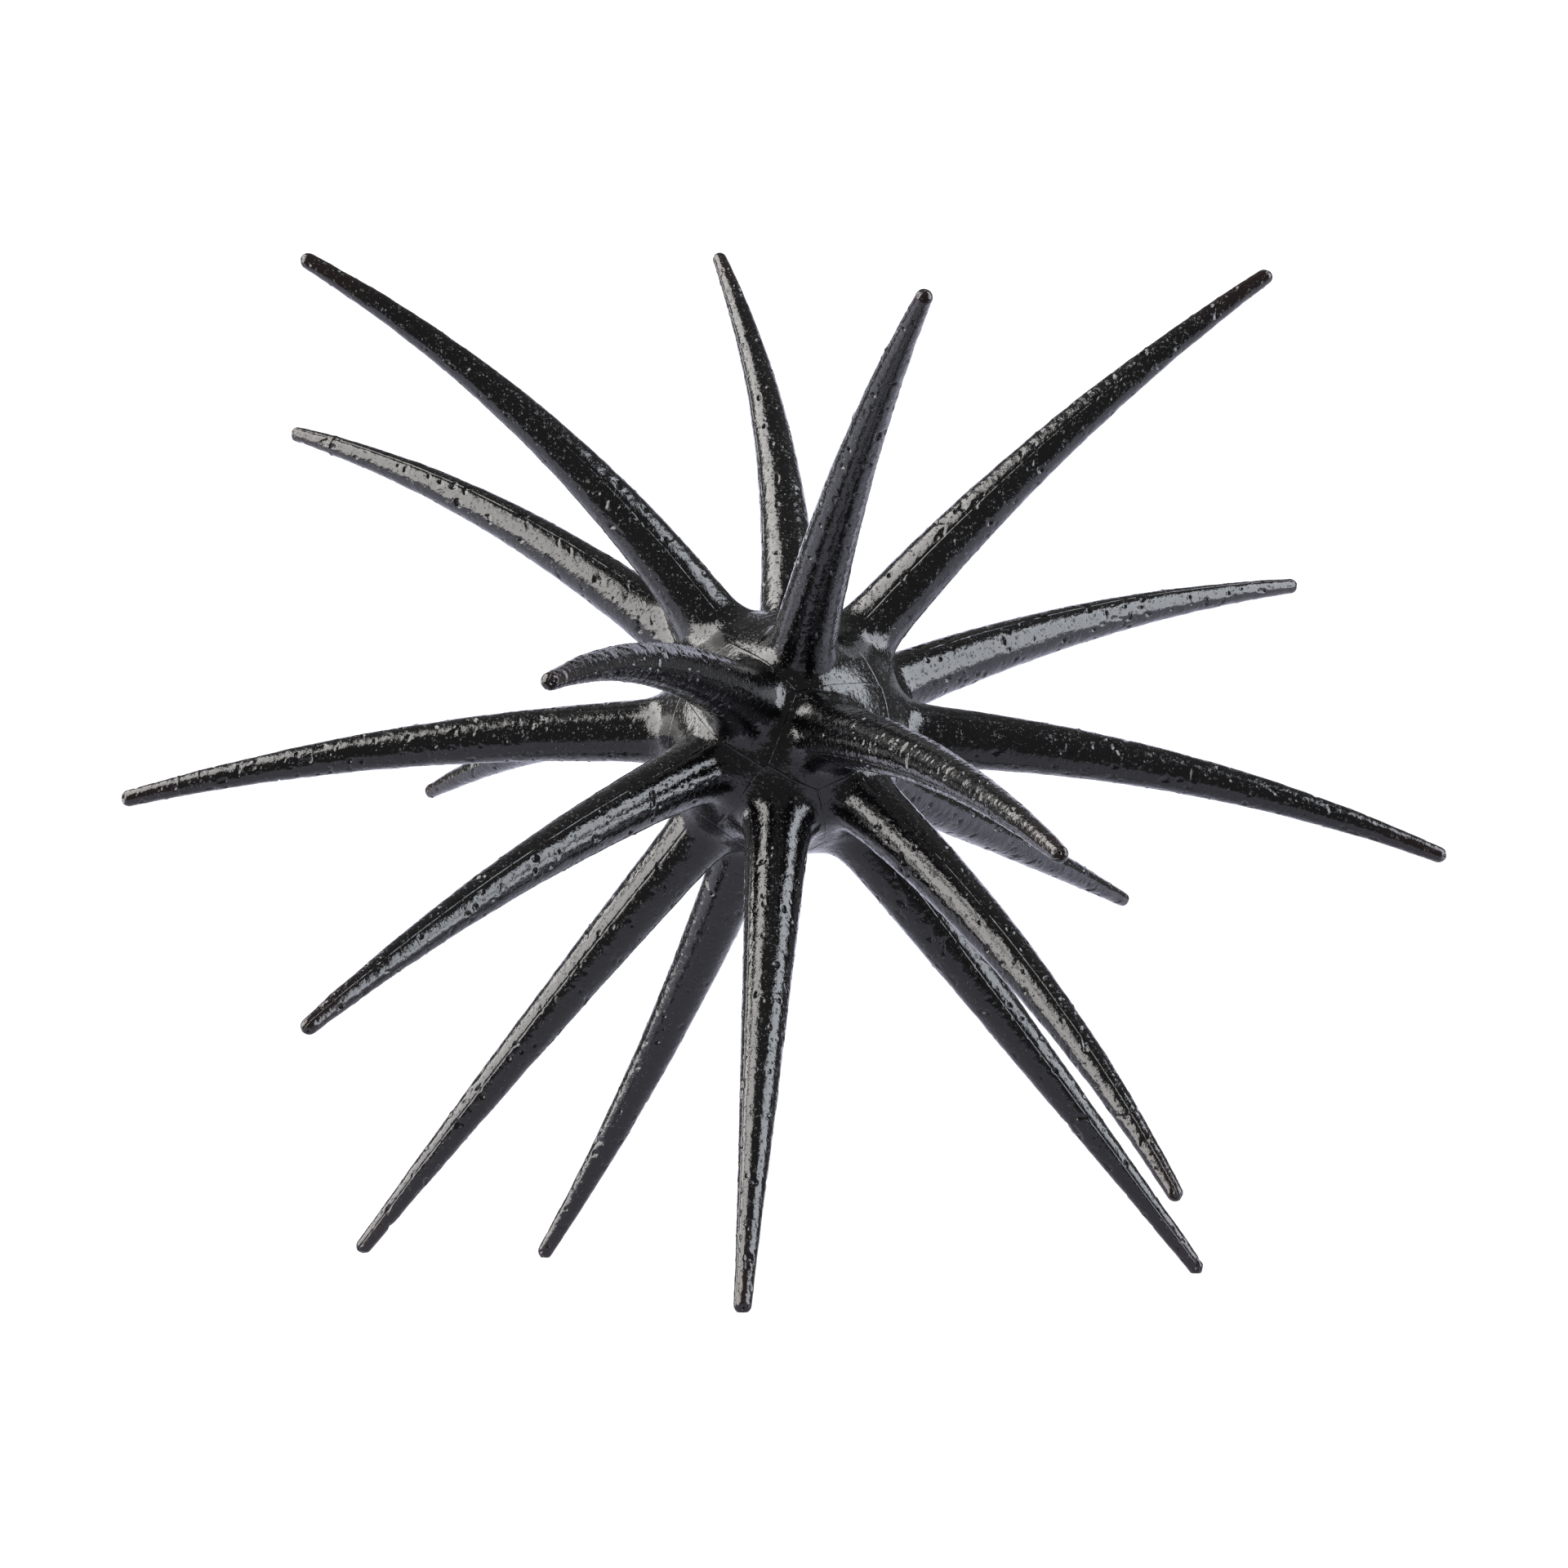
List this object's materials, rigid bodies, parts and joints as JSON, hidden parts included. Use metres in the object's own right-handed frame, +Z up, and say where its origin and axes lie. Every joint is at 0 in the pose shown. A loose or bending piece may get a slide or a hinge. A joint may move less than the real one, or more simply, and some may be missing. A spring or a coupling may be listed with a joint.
{
  "type": "spiky sea urchin ornament",
  "caption": "Glossy black rubber sea urchin: long drooping tapered spines radiate from a small ball, and it stands on the tips of the lowest ones.",
  "frame": {"origin": "on the floor, under the middle of the object's box", "axes": "+Z up from the floor, +X to the right along the widest pair of spines, -Y towards the front"},
  "size_m": [0.1011, 0.0896, 0.0828],
  "materials": {
    "black_rubber": "glossy black moulded rubber with a fine orange-peel skin",
    "core_rubber": "matte black rubber, hidden under the spines' feet"
  },
  "bodies": {
    "root": {"core_ball": "core_rubber", "spine_upper_left": "black_rubber", "spine_upper_left_rear": "black_rubber", "spine_upper_rear": "black_rubber", "spine_upper_front": "black_rubber", "spine_upper_right": "black_rubber", "spine_middle_right_rear": "black_rubber", "spine_middle_right": "black_rubber", "spine_middle_left": "black_rubber", "spine_middle_left_rear": "black_rubber", "spine_middle_front_left": "black_rubber", "spine_middle_front_right": "black_rubber", "spine_low_right_rear": "black_rubber", "spine_low_front_left": "black_rubber", "spine_low_front_right": "black_rubber", "spine_bottom_left": "black_rubber", "spine_stand_left_rear": "black_rubber", "spine_stand_front": "black_rubber", "spine_stand_right": "black_rubber"}
  },
  "joints": []
}
